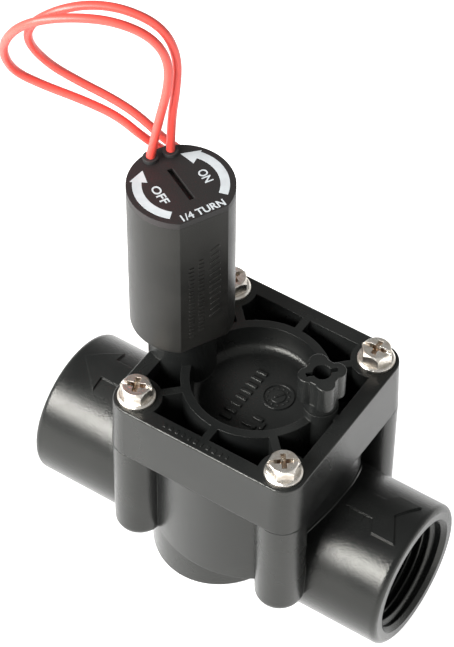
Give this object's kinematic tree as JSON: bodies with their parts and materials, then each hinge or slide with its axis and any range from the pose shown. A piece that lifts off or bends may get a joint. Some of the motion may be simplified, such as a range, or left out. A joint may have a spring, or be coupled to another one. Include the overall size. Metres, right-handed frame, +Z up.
{
  "type": "solenoid valve",
  "caption": "Straight-through diaphragm solenoid valve with threaded ports, a ribbed square bonnet, a quarter-turn solenoid with loose leads and a manual bleed screw.",
  "frame": {"origin": "centre of the inlet port's threaded wall, at its outer end, 1.3 mm inside the mouth", "axes": "+X out of the inlet port along the pipe's axis, +Z up towards the solenoid, +Y across the valve to its far side"},
  "size_m": [0.1322, 0.0896, 0.1844],
  "materials": {
    "body_plastic": "glossy moulded black plastic",
    "housing_plastic": "satin black plastic",
    "cap_plastic": "matt black potting cap",
    "inner_plastic": "matt dark grey",
    "rubber": "matt black",
    "stainless": "bright, lightly brushed",
    "spring_steel": "bright wire",
    "plated_steel": "plain",
    "copper": "enamelled copper",
    "lead_pvc": "coral red, slightly glossy"
  },
  "bodies": {
    "valve": {"valve_body": "body_plastic", "bonnet": "body_plastic", "bonnet_screws": "stainless", "diaphragm_membrane": "rubber", "diaphragm_spring": "spring_steel"},
    "diaphragm": {"diaphragm_support": "inner_plastic", "seat_disc": "rubber", "seat_retainer": "inner_plastic"},
    "solenoid": {"solenoid_housing": "housing_plastic", "solenoid_cap": "cap_plastic", "lead_collars": "rubber", "coil_bobbin": "inner_plastic", "coil_winding": "copper", "flux_frame": "plated_steel", "core_tube": "stainless", "fixed_core": "plated_steel", "plunger_spring": "spring_steel", "solenoid_adapter": "body_plastic", "solenoid_o_ring": "rubber", "lead_a": "lead_pvc", "lead_b": "lead_pvc", "lead_end_a": "copper", "lead_end_b": "copper"},
    "plunger": {"plunger": "plated_steel", "plunger_seal": "rubber"},
    "bleed_seal": {"bleed_o_ring": "rubber"},
    "bleed_knob": {"bleed_screw": "body_plastic"}
  },
  "joints": [
    {"name": "diaphragm_lift", "type": "slide", "parent": "valve", "child": "diaphragm", "axis": [0, 0, 1], "range_m": [0, 0.005], "stiffness_N_per_m": 400, "springref_m": -0.004, "deforming": ["diaphragm_spring", "diaphragm_membrane"]},
    {"name": "solenoid_turn", "type": "hinge", "parent": "valve", "child": "solenoid", "pos_m": [-0.0773, 0, 0.0625], "axis": [0, 0, 1], "range_deg": [0, 90]},
    {"name": "plunger_lift", "type": "slide", "parent": "solenoid", "child": "plunger", "axis": [0, 0, 1], "range_m": [0, 0.002], "stiffness_N_per_m": 200, "springref_m": -0.004, "deforming": ["plunger_spring"]},
    {"name": "bleed_turn", "type": "hinge", "parent": "bleed_seal", "child": "bleed_knob", "pos_m": [-0.0321, 0, 0.0548], "axis": [0, 0, 1], "range_deg": [0, 360]},
    {"name": "bleed_lift", "type": "slide", "parent": "valve", "child": "bleed_seal", "axis": [0, 0, 1], "range_m": [0, 0.0015]}
  ],
  "couplings": [
    {"joint": "bleed_turn", "follows": "bleed_lift", "rad_per_m": 4188.8}
  ]
}
